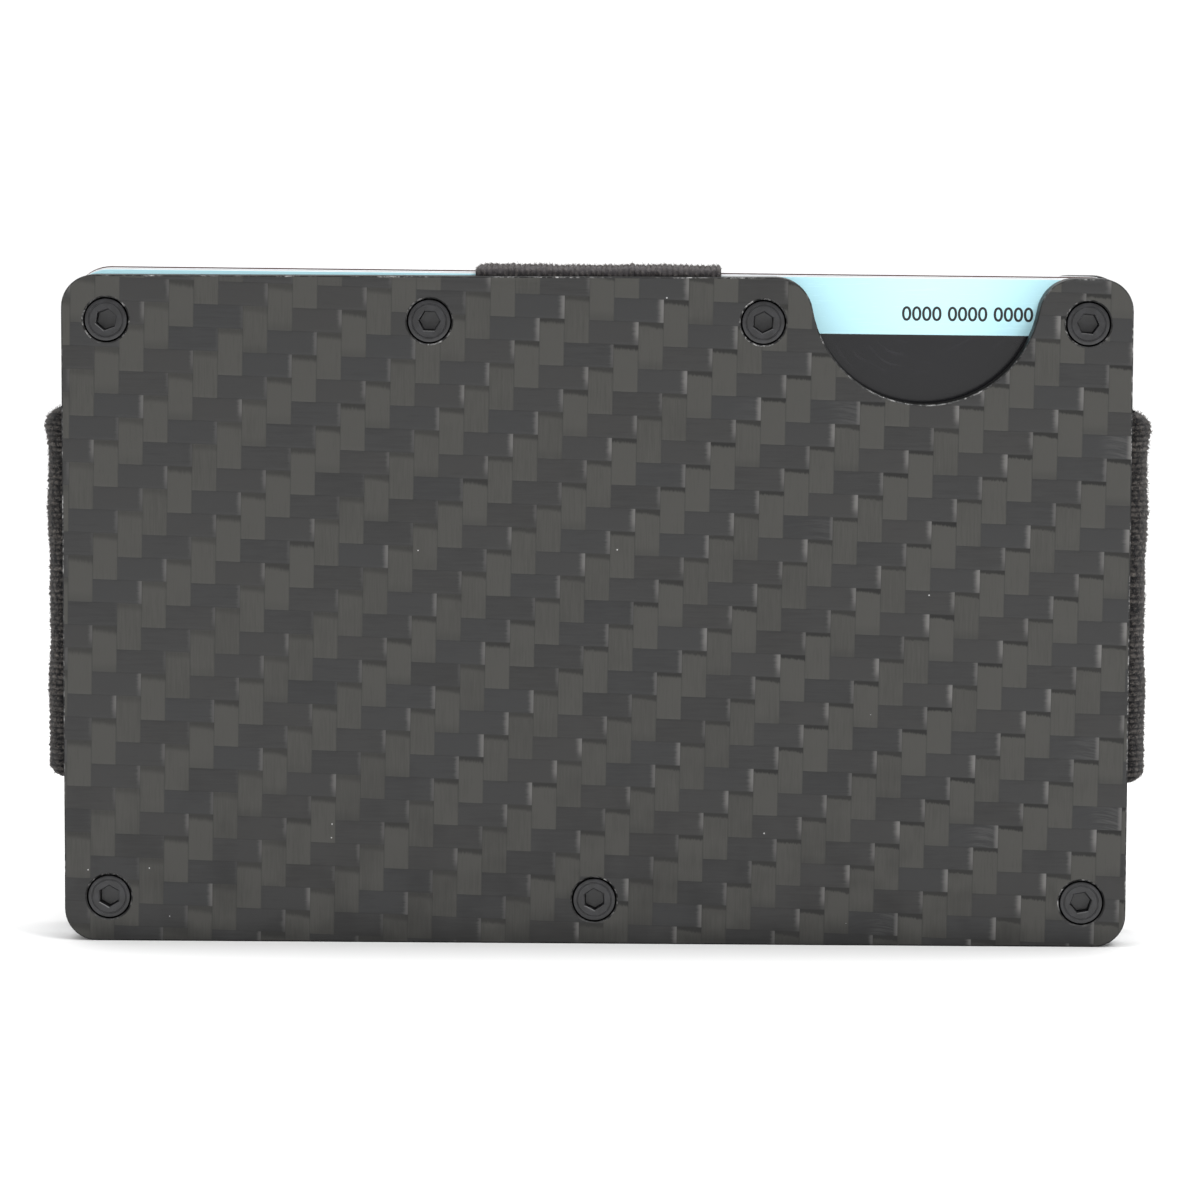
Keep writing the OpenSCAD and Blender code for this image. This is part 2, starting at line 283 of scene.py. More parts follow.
class Shader:
    """A material's node tree, with a short method for each kind of node."""

    def __init__(self, name, **constants):
        self.material = bpy.data.materials.new(name)
        self.material.use_nodes = True
        self.tree = self.material.node_tree
        self.surface = self.tree.nodes["Principled BSDF"]
        for socket, value in constants.items():
            self.surface.inputs[socket.replace("_", " ")].default_value = value

    def node(self, kind, inputs, output=0, **settings):
        made = add_node(self.tree, kind, inputs, **settings)
        return Value(self, made.outputs[output])

    def math(self, operation, a, b=0.0):
        return self.node("ShaderNodeMath", {0: a, 1: b}, operation=operation)

    def mix(self, factor, a, b):
        return self.node("ShaderNodeMix", {"Factor": factor, 6: a, 7: b}, 2, data_type="RGBA")

    def blend(self, factor, a, b):
        """A number between a and b."""
        return factor * (b - a) + a

    def ramp(self, value, low, high):
        """0 below low, 1 above high, smooth between."""
        ends = {"Value": value, "From Min": low, "From Max": high}
        return self.node("ShaderNodeMapRange", ends, "Result", interpolation_type="SMOOTHSTEP")

    def place(self):
        """X, Y and Z of the point on the piece, in millimetres."""
        metres = self.node("ShaderNodeTexCoord", {}, "Object")
        scaled = self.node("ShaderNodeVectorMath", {0: metres, "Scale": 1 / MM}, operation="SCALE")
        parts = self.node("ShaderNodeSeparateXYZ", {0: scaled})
        return [parts.output(axis) for axis in "XYZ"]

    def vector(self, x, y, z):
        return self.node("ShaderNodeCombineXYZ", {0: x, 1: y, 2: z})

    def noise(self, x, y, z, scale=1.0, detail=2.0, rough=0.5):
        look = {"Vector": self.vector(x, y, z), "Scale": scale, "Detail": detail, "Roughness": rough}
        return self.node("ShaderNodeTexNoise", look)

    def chance(self, vector):
        """One even random number for each whole-number place."""
        return self.node("ShaderNodeTexWhiteNoise", {"Vector": vector}, "Value", noise_dimensions="3D")

    def finish(self, colour, roughness, bump=None):
        """Sets the surface and returns the material. Bump is a height, its depth and its strength."""
        faces = {"Base Color": colour, "Roughness": roughness}
        if bump:
            height, depth, strength = bump
            shape = {"Distance": depth, "Strength": strength, "Height": height}
            faces["Normal"] = self.node("ShaderNodeBump", shape)
        for socket, source in faces.items():
            if isinstance(source, Value):
                self.tree.links.new(source.socket, self.surface.inputs[socket])
            else:
                self.surface.inputs[socket].default_value = source
        return self.material


def grey(value, warm=0.0):
    return (value * (1 + warm), value, value * (1 - warm), 1.0)


# ---- Materials ----

def carbon_twill(side):
    """2x2 twill under satin resin. Side is 1 on the front plate and -1 on the back one."""
    s = Shader("carbon_twill_front" if side > 0 else "carbon_twill_back", IOR=1.5, Specular_IOR_Level=0.36)
    x, _, z = s.place()
    x = x * side
    u = (x + z * LEAN_X - START_X / MM) / (TOW_X / MM)
    v = (z + x * LEAN_Z - START_Z / MM) / (TOW_Z / MM)
    column, row = s.math("FLOOR", u), s.math("FLOOR", v)
    across, along = s.math("FRACT", u), s.math("FRACT", v)
    phase = s.math("FLOORED_MODULO", column - row, float(REPEAT_CELLS))
    upright = s.math("LESS_THAN", phase, FLOAT_CELLS - 0.5)
    # How far along its own float each tow is, from 0 to FLOAT_CELLS
    up_t = 1.0 - phase + along
    lie_t = phase - FLOAT_CELLS + across
    up_cell, lie_cell = (column, row + phase - 1.0), (column + FLOAT_CELLS - phase, row)
    up_luck, up_luck_2 = [s.chance(s.vector(*up_cell, seed)) for seed in (3.0, 12.0)]
    lie_luck, lie_luck_2 = [s.chance(s.vector(*lie_cell, seed)) for seed in (7.0, 16.0)]

    # Fine filaments along each tow; in a few lying tows towards the right they bow
    bowed = s.ramp(lie_luck_2, 0.86, 0.92) * s.ramp(x, 2.0, 34.0)
    bow = lie_t * (FLOAT_CELLS - lie_t) * 0.45
    up_hair = s.noise(x * 6.0, 0.0, z * 0.35, 1.0, 4.0, 0.7)
    lie_hair = s.noise(x * 0.3, 5.0, (z - bow * bowed) * 4.5, 1.0, 4.0, 0.7)
    hair = s.blend(upright, lie_hair, up_hair)

    # Painted light and shade: soft blotches that stand for uneven reflection, stronger near the open edge;
    # the face painted lighter towards the top and darker in the middle; and painted shade along the foot,
    # where the plate stands on the floor
    reflection_blotches = s.noise(x, 0.0, z, 0.32)
    depth = s.blend(1.0 - s.ramp(z, 0.0, 20.0), 0.25, 1.0)
    painted_light_and_shade = s.ramp(z, 0.0, 60.0) * 0.12 + 0.96 + (reflection_blotches - 0.5) * depth
    painted_light_and_shade = painted_light_and_shade * s.blend(s.ramp(abs(x), 12.0, 42.0), 0.935, 1.0)
    painted_light_and_shade = painted_light_and_shade * s.blend(s.ramp(z, 0.0, 2.6), 0.62, 1.0)
    up_tone = s.blend(up_luck, 0.88, 1.12) * s.blend(up_hair, 0.6, 1.4)
    lie_tone = s.blend(lie_luck, 0.85, 1.15) * s.blend(lie_hair, 0.6, 1.4)
    # The upright and lying tows are one fibre; their two tones are painted reflection
    up_colour = s.mix(up_tone * painted_light_and_shade, grey(0.0), (UP_TONE * 1.02, UP_TONE, UP_TONE * 0.91, 1))
    lie_ink = s.mix(lie_luck_2, grey(LIE_TONE, 0.02), (LIE_TONE * 0.96, LIE_TONE * 0.975, LIE_TONE, 1))
    lie_colour = s.mix(lie_tone * painted_light_and_shade, grey(0.0), lie_ink)

    # The right end of a lying tow turns down and catches light, more so at its upper corner
    to_right = s.ramp(x, -46.0, 30.0)
    ragged = (lie_hair - 0.5) * 0.5
    reach = s.blend(lie_luck, 0.14, 0.30) + to_right * 0.10
    glint = s.ramp(lie_t, FLOAT_CELLS - reach - ragged, FLOAT_CELLS - 0.04)
    corner = s.blend(s.ramp(along, 0.0, 0.55), s.blend(lie_luck_2, 0.25, 0.95), 1.0)
    force = s.blend(to_right, s.blend(lie_luck, 0.12, 0.75), s.blend(lie_luck, 0.6, 1.0))
    glint = glint * corner * force
    # Bowed lying tows also get a broad painted highlight towards their right end
    broad = bowed * (s.ramp(lie_t, 0.5, 1.5) * s.ramp(lie_hair, 0.4, 0.62))
    glint = s.math("MAXIMUM", glint * glint * 0.9, broad * 0.2)
    lie_colour = s.mix(glint, lie_colour, grey(GLINT_TONE, 0.03))

    # The top end of an upright tow dives into shadow, deeper towards one side
    wedge = across * across * s.blend(up_luck_2, 0.02, 0.12) + 0.12 + (up_hair - 0.5) * 0.3
    dive_at = FLOAT_CELLS - wedge
    dive = s.ramp(up_t, dive_at - s.blend(to_right, 0.24, 0.08), dive_at + 0.03)
    shade = s.blend(to_right, s.blend(up_luck, 0.15, 0.6), s.blend(up_luck, 0.6, 0.9))
    up_colour = s.mix(dive * shade, up_colour, grey(0.006))
    # Painted shade at the lower end of some upright tows, where they rise from under the lying tow
    foot = (1.0 - s.ramp(up_t, 0.0, 0.5)) * s.ramp(up_luck_2, 0.45, 1.0)
    up_colour = s.mix(foot * 0.35, up_colour, grey(0.02))
    cloth = s.mix(upright, lie_colour, up_colour)

    # Faint seams between tows, and a few specks of dust
    side_edge = s.blend(upright, abs(along - 0.5), abs(across - 0.5))
    cloth = s.mix(s.ramp(side_edge, 0.455, 0.5) * 0.3, cloth, grey(0.01))
    dots = s.node("ShaderNodeTexVoronoi", {"Vector": s.vector(x, 0.0, z), "Scale": 0.5}, "Distance")
    near = s.math("LESS_THAN", dots, 0.03)
    rare = s.math("GREATER_THAN", s.chance(dots.output("Position")), 0.84)
    cloth = s.mix(near * rare * 0.8, cloth, grey(0.6))
    return s.finish(cloth, s.blend(hair, 0.38, 0.52), (hair, 0.012 * MM, 0.55))


def carbon_cut():
    """The laminate's machined edge: thin plies, and pale chips where the tool broke the resin."""
    s = Shader("carbon_cut_edge", IOR=1.4, Specular_IOR_Level=0.22)
    x, y, z = s.place()
    plies = s.noise(x * 0.3, y * 6.0, z * 0.3, 1.0, 3.0)
    chips = s.noise(x, y, z, 2.6, 4.0, 0.75)
    wall = s.mix(s.ramp(plies, 0.35, 0.65), grey(0.004), grey(0.014))
    colour = s.mix(s.ramp(chips, 0.62, 0.8), wall, grey(0.07, 0.01))
    return s.finish(colour, s.blend(chips, 0.4, 0.62), (chips, 0.01 * MM, 0.4))


def carbon_lip():
    """The small chamfer round the face and the holes, with a painted highlight where the cut fibres catch
    light.
    """
    s = Shader("carbon_cut_lip", IOR=1.45, Specular_IOR_Level=0.3)
    x, y, z = s.place()
    chips = s.noise(x, y, z, 2.2, 4.0, 0.75)
    long_wave = s.noise(x, y, z, 0.35, 1.0)
    # Painted shade: towards the edge that the wallet stands on, the highlight fades out and the lip is
    # painted darker
    painted_highlight = s.ramp(chips, 0.45, 0.7) * s.ramp(long_wave, 0.35, 0.65) * s.ramp(z, 0.5, 5.0)
    colour = s.mix(painted_highlight, s.mix(s.ramp(z, 0.0, 2.0), grey(0.004), grey(0.014)), grey(0.42, 0.01))
    return s.finish(colour, s.blend(chips, 0.2, 0.4), (chips, 0.02 * MM, 0.6))


def anodised():
    """Black anodised aluminium, with fine milling marks."""
    s = Shader("black_anodised_aluminium", IOR=1.4, Specular_IOR_Level=0.28)
    x, y, z = s.place()
    marks = s.noise(x * 0.6, y * 9.0, z * 0.6, 1.0, 3.0)
    grain = s.noise(x, y, z, 9.0)
    colour = s.mix(s.ramp(grain, 0.3, 0.8), grey(0.006), grey(0.013))
    return s.finish(colour, s.blend(marks, 0.36, 0.52), (marks + grain, 0.008 * MM, 0.5))


def screw_black():
    """Black oxide on steel, a little worn."""
    s = Shader("black_oxide_screw", Metallic=0.0, IOR=1.62, Specular_IOR_Level=0.5)
    x, y, z = s.place()
    grain = s.noise(x, y, z, 7.0, 3.0, 0.6)
    worn = s.ramp(s.noise(x, y, z, 1.4), 0.35, 0.75)
    colour = s.mix(worn, (0.005, 0.005, 0.006, 1), (0.017, 0.017, 0.02, 1))
    return s.finish(colour, s.blend(grain, 0.24, 0.42), (grain, 0.008 * MM, 0.5))


def elastic_yarn():
    """Charcoal texturised yarn, painted dark between its ribs as shade, and browner on their crests."""
    s = Shader("charcoal_elastic_yarn", Sheen_Weight=0.08, Sheen_Roughness=0.5, Specular_IOR_Level=0.2)
    x, y, z = s.place()
    rib = s.node("ShaderNodeAttribute", {}, "Fac", attribute_name="rib")
    tufts = s.noise(x, y, z, 2.2, 3.0, 0.65)
    fleck = s.noise(x, y, z, 7.0, 2.0, 0.6)
    crest = s.mix(s.ramp(tufts, 0.4, 0.62), (0.016, 0.016, 0.017, 1), (0.085, 0.078, 0.073, 1))
    crest = s.mix(s.ramp(fleck, 0.5, 0.7) * 0.75, crest, (0.17, 0.15, 0.135, 1))
    # Painted shade: the hollows between the ribs are painted near black
    shaded_hollow = s.mix(s.ramp(tufts, 0.4, 0.65), (0.006, 0.006, 0.007, 1), (0.024, 0.023, 0.023, 1))
    yarn = s.mix(s.ramp(rib, 0.1, 0.95), shaded_hollow, crest)
    # Painted light: the strap's top is painted paler, where the light from above falls on it
    top_light = s.ramp(z, PLATE_H / MM - 0.2, PLATE_H / MM + 0.3)
    return s.finish(s.mix(top_light * 0.4, yarn, (0.12, 0.11, 0.115, 1)), 0.9, (fleck, 0.05 * MM, 0.8))


def mottled(name, scale, dark, light, rough, detail=2.0, **constants):
    """A plain stuff that wanders between two colours, with a roughness or a range of it."""
    s = Shader(name, **constants)
    haze = s.noise(*s.place(), scale, detail)
    return s.finish(s.mix(haze, dark, light), s.blend(haze, *rough) if isinstance(rough, tuple) else rough)


def clip_black():
    """Satin black coating on spring steel, rubbed along the strip."""
    s = Shader("satin_black_spring_steel", IOR=1.6, Specular_IOR_Level=0.6)
    x, y, z = s.place()
    rub = s.noise(x * 0.35, y, z * 8.0, 1.0, 4.0, 0.6)
    grain = s.noise(x, y, z, 12.0)
    colour = s.mix(s.ramp(rub, 0.5, 0.85), grey(0.010), grey(0.028))
    return s.finish(colour, s.blend(rub, 0.2, 0.36), (grain, 0.006 * MM, 0.5))


def insert_brass():
    s = Shader("insert_brass", Metallic=1.0)
    x, y, z = s.place()
    grain = s.noise(x, y * 6.0, z, 4.0)
    return s.finish(s.mix(grain, (0.55, 0.4, 0.16, 1), (0.72, 0.56, 0.28, 1)), s.blend(grain, 0.25, 0.45))


def card_core():
    """The white plastic core that shows all round a card's edge."""
    s = Shader("card_white_core", IOR=1.5, Specular_IOR_Level=0.5)
    x, y, z = s.place()
    scuff = s.noise(x * 0.7, y * 5.0, z * 0.7, 1.5, 3.0)
    colour = s.mix(s.ramp(scuff, 0.4, 0.8), (0.78, 0.8, 0.81, 1), (0.6, 0.63, 0.65, 1))
    return s.finish(colour, s.blend(scuff, 0.3, 0.5))


def card_print(name, ink, second):
    """Printed, laminated card face: an ink with a soft second tone, and hairline scratches."""
    s = Shader(name, IOR=1.5, Specular_IOR_Level=0.5)
    x, _, z = s.place()
    wash = s.noise(x, 0.0, z * 0.4, 0.05, 1.0)
    scratch = s.noise(x * 0.25, 0.0, z * 6.0, 1.0, 4.0, 0.7)
    gloss = s.blend(s.ramp(scratch, 0.55, 0.75), 0.26, 0.38)
    return s.finish(s.mix(s.ramp(wash, 0.3, 0.7), ink, second), gloss, (scratch, 0.004 * MM, 0.3))


def stripe_black():
    """Glossy magnetic stripe, with faint arcs worn into it."""
    s = Shader("magnetic_stripe_black", IOR=1.5, Specular_IOR_Level=0.5)
    x, y, z = s.place()
    waves = {"Vector": s.vector(x - 27.0, 0.0, z - 54.0), "Scale": 0.35, "Distortion": 5.0, "Detail": 3.0}
    rings = s.node("ShaderNodeTexWave", waves, "Fac", wave_type="RINGS", rings_direction="Y")
    worn = s.ramp(rings, 0.8, 1.0) * s.ramp(s.noise(x, y, z, 0.35), 0.45, 0.7)
    colour = s.mix(worn, (0.006, 0.006, 0.008, 1), (0.016, 0.016, 0.019, 1))
    return s.finish(colour, s.blend(worn, 0.13, 0.22))


def floor_white():
    """White paper, with a painted contact shadow that greys it close to the wallet's foot."""
    s = Shader("studio_paper_white", Specular_IOR_Level=0.1)
    x, y, z = s.place()
    # Painted contact shadow: within 12 mm of the wallet's foot the paper is painted grey
    beside = s.math("MAXIMUM", abs(x) - (HALF_W / MM - 5.0), 0.0)
    before = s.math("MAXIMUM", abs(y) + FRONT_Y / MM, 0.0)
    away = s.node("ShaderNodeVectorMath", {0: s.vector(beside, before, 0.0)}, "Value", operation="LENGTH")
    paper = s.mix(s.noise(x, y, z, 0.02), grey(0.955), grey(0.975))
    return s.finish(s.mix(s.ramp(away, 0.0, 12.0), grey(0.77), paper), 0.9)


# ---- Carbon plates ----

def twill_depth(x, z):
    """How deep the cloth lies under the plate's face, in metres, at points x and z."""
    u = (x + LEAN_X * z - START_X) / TOW_X
    v = (z + LEAN_Z * x - START_Z) / TOW_Z
    deepest = np.zeros_like(x)
    nudge = 0.001
    for du, dv in ((nudge, nudge), (nudge, -nudge), (-nudge, nudge), (-nudge, -nudge)):
        column, row = np.floor(u + du), np.floor(v + dv)
        across, along = u + du - column, v + dv - row
        phase = np.mod(column - row, REPEAT_CELLS)
        upright = phase < FLOAT_CELLS - 0.5
        t = np.where(upright, 1 - phase + along, phase - FLOAT_CELLS + across)
        beside = np.where(upright, across, along)
        far_end = np.clip((t - (FLOAT_CELLS - FAR_DIVE)) / FAR_DIVE, 0, 1) ** 2
        near_end = np.clip((NEAR_DIVE - t) / NEAR_DIVE, 0, 1) ** 2
        groove = np.abs(2 * beside - 1) ** 6
        depth = LACQUER_OVER + END_DIVE * np.maximum(far_end, 0.55 * near_end) + SIDE_DIP * groove
        deepest = np.maximum(deepest, depth)
    return deepest


def twill_slab(side):
    """A closed slab, larger than a plate, whose outer face carries the cloth's relief."""
    cell_lines = np.array([0, 0.06, 0.15, 0.3, 0.7, 0.85, 0.94])
    margin = 2 * MM
    columns = np.arange(math.floor(-(HALF_W + margin) / TOW_X) - 1, math.ceil((HALF_W + margin) / TOW_X) + 2)
    rows = np.arange(math.floor(-margin / TOW_Z) - 2, math.ceil((PLATE_H + margin) / TOW_Z) + 2)
    u = (columns[:, None] + cell_lines).ravel()
    v = (rows[:, None] + cell_lines).ravel()
    grid_u, grid_v = np.meshgrid(u, v, indexing="ij")
    # Undo the lean: x + a z = p and z + b x = q
    p, q = grid_u * TOW_X + START_X, grid_v * TOW_Z + START_Z
    x = (p - LEAN_X * q) / (1 - LEAN_X * LEAN_Z)
    z = q - LEAN_Z * x
    depth = twill_depth(x, z)
    outer_y = FRONT_Y if side > 0 else BACK_Y
    inner_y = outer_y + side * 3 * MM
    face = np.stack([x * side, outer_y + side * depth, z], -1).reshape(-1, 3)
    across, up = len(u), len(v)
    index = np.arange(across * up).reshape(across, up)
    faces = [
        (index[i, j], index[i + 1, j], index[i + 1, j + 1], index[i, j + 1])
        for i in range(across - 1) for j in range(up - 1)
    ]
    rim = np.concatenate([index[:, 0], index[-1, 1:], index[-2::-1, -1], index[0, -2:0:-1]])
    below = face[rim].copy()
    below[:, 1] = inner_y
    first = len(face)
    count = len(rim)
    for k in range(count):
        following = (k + 1) % count
        faces.append((rim[following], rim[k], first + k, first + following))
    faces.append(tuple(first + k for k in range(count)))
    slab = mesh_object("twill_slab", np.concatenate([face, below]), [tuple(int(i) for i in f) for f in faces])
    recalculate(slab.data)
    return slab


def chamfer_outline(obj, side, width):
    """Cuts a small chamfer round the outer face's outline and leaves the screw holes alone."""
    face_y = FRONT_Y if side > 0 else BACK_Y
    full = BACK_HIGH.y - BACK_LOW.y
    with editing(obj.data) as bm:
        picked = []
        for edge in bm.edges:
            if len(edge.link_faces) != 2 or any(abs(v.co.y - face_y) > 0.001 * MM for v in edge.verts):
                continue
            normals = [f.normal for f in edge.link_faces]
            wall = [f for f in edge.link_faces if abs(f.normal.y) < 0.1]
            if len(wall) == 1 and abs(normals[0].dot(normals[1])) < 0.1:
                heights = [v.co.y for v in wall[0].verts]
                if max(heights) - min(heights) > 0.9 * full:
                    picked.append(edge)
        bmesh.ops.bevel(bm, geom=picked, offset=width, segments=1, affect="EDGES", clamp_overlap=False)


def carbon_plate(name, node, side, *finishes):
    """A plate whose outer face has the twill in relief, cut to the CAD plate's outline and holes."""
    plate = welded_copy(node, name)
    chamfer_outline(plate, side, LIP)
    outer_y = FRONT_Y if side > 0 else BACK_Y
    slab = twill_slab(side)
    for piece in (plate, slab):
        paint(piece, *finishes)
    # Finish 0 is the cloth, 1 the cut wall and 2 the lip
    for polygon in plate.data.polygons:
        lean = abs(polygon.normal.y)
        shallow = abs(polygon.center.y - outer_y) < 0.2 * MM
        if lean < 0.9:
            polygon.material_index = 2 if lean > 0.3 and shallow else 1
    cutter = plate.modifiers.new("relief", "BOOLEAN")
    cutter.operation = "INTERSECT"
    cutter.solver = "MANIFOLD"
    cutter.object = slab
    apply_modifiers(plate)
    bpy.data.objects.remove(slab)
    smooth(plate.data, 20)
    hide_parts(node)
    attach(plate, "front_side" if side > 0 else "back_side")


# ---- Screws ----

def loft(name, rings):
    """Skins rings of equal length, given as lists of points, and caps the ends with fans."""
    count = len(rings[0])
    points = [point for ring in rings for point in ring]
    faces = []
    for r in range(len(rings) - 1):
        near, far = r * count, (r + 1) * count
        for k in range(count):
            following = (k + 1) % count
            faces.append((near + k, near + following, far + following, far + k))
    for r in (0, len(rings) - 1):
        points.append(tuple(np.mean(rings[r], axis=0)))
        for k in range(count):
            faces.append((r * count + k, r * count + (k + 1) % count, len(points) - 1))
    obj = mesh_object(name, points, faces)
    recalculate(obj.data)
    return obj


def screw_mesh(name, profile, socket_flats, socket_rings, tail):
    """A screw along +Y with its head at y = 0. Profile and tail are [radius, depth] pairs.

    Socket rings are [share of a hexagon, scale, depth]: 0 is a circle and 1 a true hexagon.
    """
    segments = 72
    angles = np.arange(segments) * 2 * math.pi / segments
    sixth = math.pi / 3
    hexagon = (socket_flats / 2) / np.cos(np.mod(angles, sixth) - sixth / 2)
    circle = np.full(segments, socket_flats / 2 / math.cos(sixth / 2))
    steps = [
        [(share * hexagon + (1 - share) * circle) * scale, depth] for share, scale, depth in socket_rings
    ]
    screw = loft(name, [
        np.stack([radius * np.cos(angles), np.full(segments, depth), radius * np.sin(angles)], -1)
        for radius, depth in steps[::-1] + profile + tail
    ])
    smooth(screw.data, 28)
    return screw


def screw_scatter():
    """Sets one screw on every point, turned by the point's own angle."""
    scatter = Scatter("set_screws", Screw="Object", Facing="Float")
    turn = scatter.make("GeometryNodeInputNamedAttribute", {"Name": "turn"}, data_type="FLOAT")
    angles = scatter.make("ShaderNodeCombineXYZ", {"Y": turn["Attribute"], "Z": scatter.entry["Facing"]})
    source = scatter.make("GeometryNodeObjectInfo", {"Object": scatter.entry["Screw"]})
    scatter.plant(Points=scatter.entry["Base"], Instance=source["Geometry"], Rotation=angles[0])
    return scatter


def set_screws(name, node, side, turns, screw, finish, scatter):
    """A group of equal screws as one piece, which stands for the CAD group."""
    boxes = solid_boxes(node)
    face_y = boxes[0][0].y if side > 0 else boxes[0][1].y
    centres = [(low + high) / 2 for low, high in boxes]
    group = mesh_object(name, [(c.x, face_y, c.z) for c in centres], [])
    attribute = group.data.attributes.new("turn", "FLOAT", "POINT")
    attribute.data.foreach_set("value", [-math.radians(t) for t in turns])
    scatter.grow(group, Screw=screw, Facing=0.0 if side > 0 else math.pi, Finish=finish)
    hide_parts(node)
    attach(group, "front_side" if side > 0 else "back_side")


def all_screws(finish):
    scatter = screw_scatter()
    low, high = solid_boxes("front_screws")[0]
    head = (high.x - low.x) / 2
    length = high.y - low.y
    rim = 0.37 * MM
    shank = 0.95 * MM
    cone = rim + head - shank
    profile = [
        [0.62 * head, 0], [0.77 * head, 0], [0.79 * head, 0.04 * MM], [0.82 * head, 0.04 * MM],
        [0.84 * head, 0], [0.95 * head, 0], [0.985 * head, 0.015 * MM], [head, 0.05 * MM], [head, rim]
    ]
    tail = [[shank, cone], [shank, length - 0.2 * MM], [shank - 0.2 * MM, length]]
    socket = [
        [1, 1.12, 0.0], [1, 1.02, 0.07 * MM], [1, 1.0, 0.9 * MM], [1, 0.92, 0.98 * MM],
        [0.3, 0.4, 1.0 * MM]
    ]
    flat = screw_mesh("flat_screw", profile, 1.5 * MM, socket, tail)
    turns = [20, -2, 26, -6, 30, 33, 10]
    set_screws("front_screw_set", "front_screws", 1, turns, flat, finish, scatter)
    set_screws("back_screw_set", "back_screws", -1, [-t for t in turns], flat, finish, scatter)

    low, high = solid_boxes("clip_screws")[0]
    head = (high.x - low.x) / 2
    crown = 1.0 * MM
    dome = [
        [head * math.sin(math.radians(a)), crown * (1 - math.cos(math.radians(a)))]
        for a in (34, 44, 54, 64, 73, 81, 87)
    ]
    start = dome[0][1]
    profile = [[r, d - start] for r, d in dome] + [[head, crown - 0.06 * MM], [head - 0.06 * MM, crown]]
    tail = [[shank, crown], [shank, high.y - low.y]]
    socket = [
        [0.3, 1.22, 0], [1, 1.06, 0.0], [1, 1.0, 0.06 * MM], [1, 1.0, 0.45 * MM], [0.3, 0.4, 0.6 * MM]
    ]
    button = screw_mesh("button_screw", profile, 1.3 * MM, socket, tail)
    set_screws("clip_screw_set", "clip_screws", -1, [14, 41], button, finish, scatter)
    for spare in (flat, button):
        bpy.data.objects.remove(spare)


# ---- Inner plates and inserts ----

def inner_plate(name, node, body, finish):
    plate = welded_copy(node, name)
    bevel_sharp(plate, 0.1 * MM, 2)
    smooth(plate.data, 35)
    paint(plate, finish)
    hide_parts(node)
    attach(plate, body)


# ---- Elastic ----

RIB = 0.44 * MM             # pitch of the elastic's ribs
STITCH = 0.55 * MM          # pitch of the knit along a rib
RIB_OUT = 0.18 * MM         # how far a rib stands out
HAIRS = 11e6                # loose filaments to a square metre
HAIR_R = 0.011 * MM         # radius of a loose filament


def half_superellipse(out, half, power, count):
    """Points from -half to +half, bulging by out, as [out, along] pairs, and their outward normals."""
    t = np.linspace(-math.pi / 2, math.pi / 2, count)
    bulge = out * np.maximum(np.cos(t), 0) ** (2 / power)
    along = half * np.sign(np.sin(t)) * np.abs(np.sin(t)) ** (2 / power)
    # Even spacing by length
    step = np.hypot(np.diff(bulge), np.diff(along))
    length = np.concatenate([[0], np.cumsum(step)])
    even = np.linspace(0, length[-1], count)
    bulge, along = np.interp(even, length, bulge), np.interp(even, length, along)
    tangent = np.stack([np.gradient(bulge), np.gradient(along)], -1)
    tangent /= np.linalg.norm(tangent, axis=1, keepdims=True)
    normal = np.stack([tangent[:, 1], -tangent[:, 0]], -1)
    return np.stack([bulge, along], -1), normal


def rib_relief(across, along, fade):
    """Height of the ribs at places across the elastic and along it, with each rib a little its own."""
    number = np.floor(across / RIB).astype(int)
    count = number.max() + 2
    height = rng.uniform(0.75, 1.2, count)[number]
    slip = rng.uniform(0, 2 * math.pi, count)[number]
    drift = rng.uniform(-0.9, 0.9, count)[number]
    inside = across / RIB - number
    ridge = np.sin(math.pi * inside) ** 0.7
    knit = 0.76 + 0.24 * np.sin(
        2 * math.pi * along[:, None] / STITCH + slip[None, :] + 2.2 * (inside[None, :] - 0.5)
        + drift[None, :] * np.sin(along[:, None] / (3 * STITCH)))
    lumps = rng.uniform(0.6, 1.25, knit.shape)
    return RIB_OUT * (height * ridge)[None, :] * knit * lumps * fade[:, None]


def strip_faces(rows, columns, start, closed):
    """Quads over a grid of points, row by row; closed joins the last row to the first."""
    index = start + np.arange(rows * columns).reshape(rows, columns)
    faces = []
    for r in range(rows if closed else rows - 1):
        following = (r + 1) % rows
        for c in range(columns - 1):
            faces.append((index[r, c], index[r, c + 1], index[following, c + 1], index[following, c]))
    return faces


